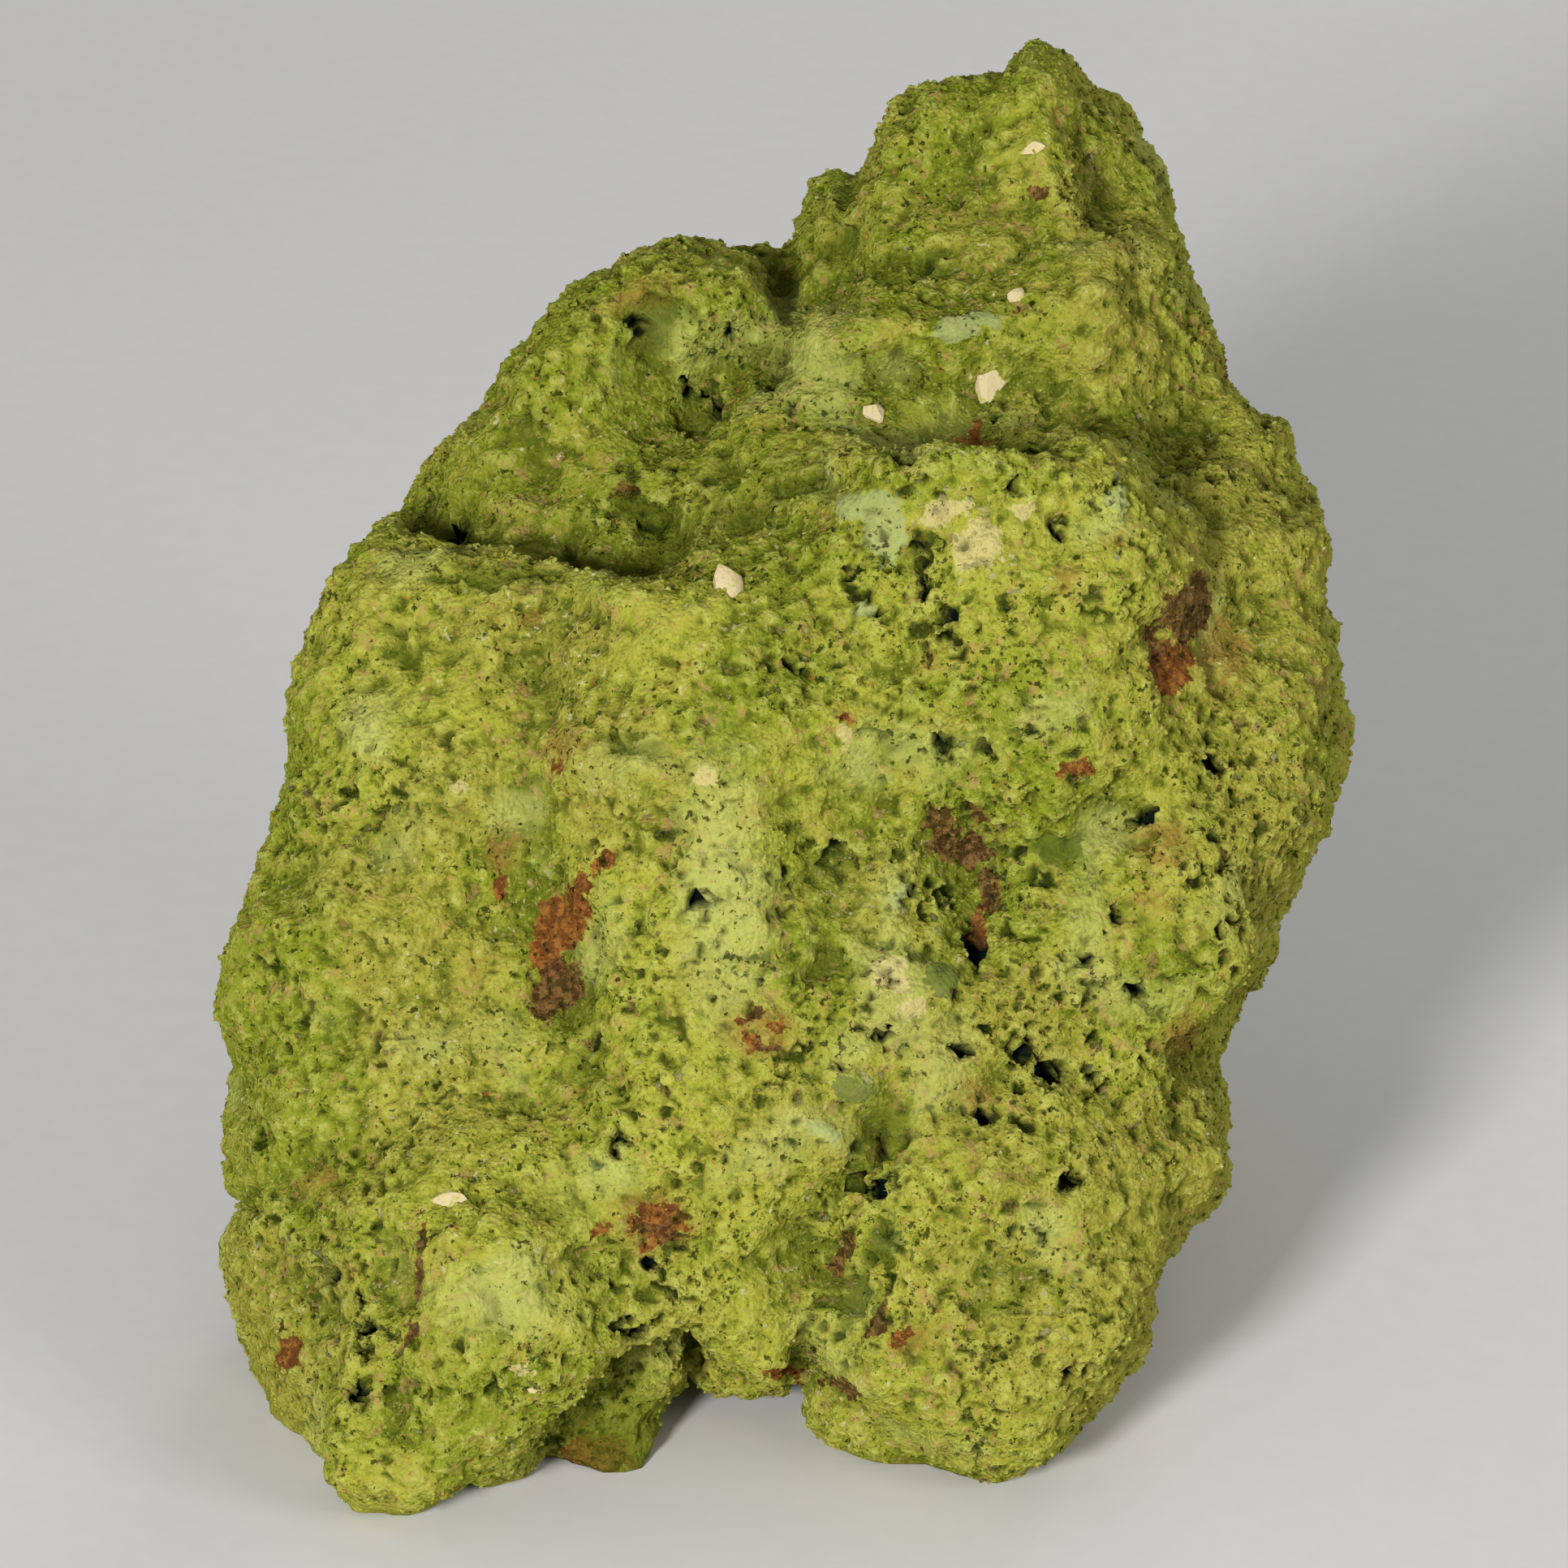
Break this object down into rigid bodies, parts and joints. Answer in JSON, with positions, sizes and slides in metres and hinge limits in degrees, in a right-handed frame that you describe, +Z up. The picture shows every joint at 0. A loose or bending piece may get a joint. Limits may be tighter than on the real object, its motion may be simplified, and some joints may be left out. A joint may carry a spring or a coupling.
{
  "type": "nontronite specimen",
  "caption": "Loose crumbly lump of yellow-green nontronite with a leaning peak, a raised front crest and a low cave between its feet, a mineral specimen that rests on its underside.",
  "frame": {"origin": "middle of the stone's box in plan, on the surface that it rests on", "axes": "+Z up, +Y from the front face towards the back, +X to the right of the front face"},
  "size_m": [0.0587, 0.0631, 0.0593],
  "materials": {
    "nontronite": "dull, porous and powdery, yellow-green with olive pores and rusty specks"
  },
  "bodies": {
    "root": {"nontronite_stone": "nontronite"}
  },
  "joints": []
}
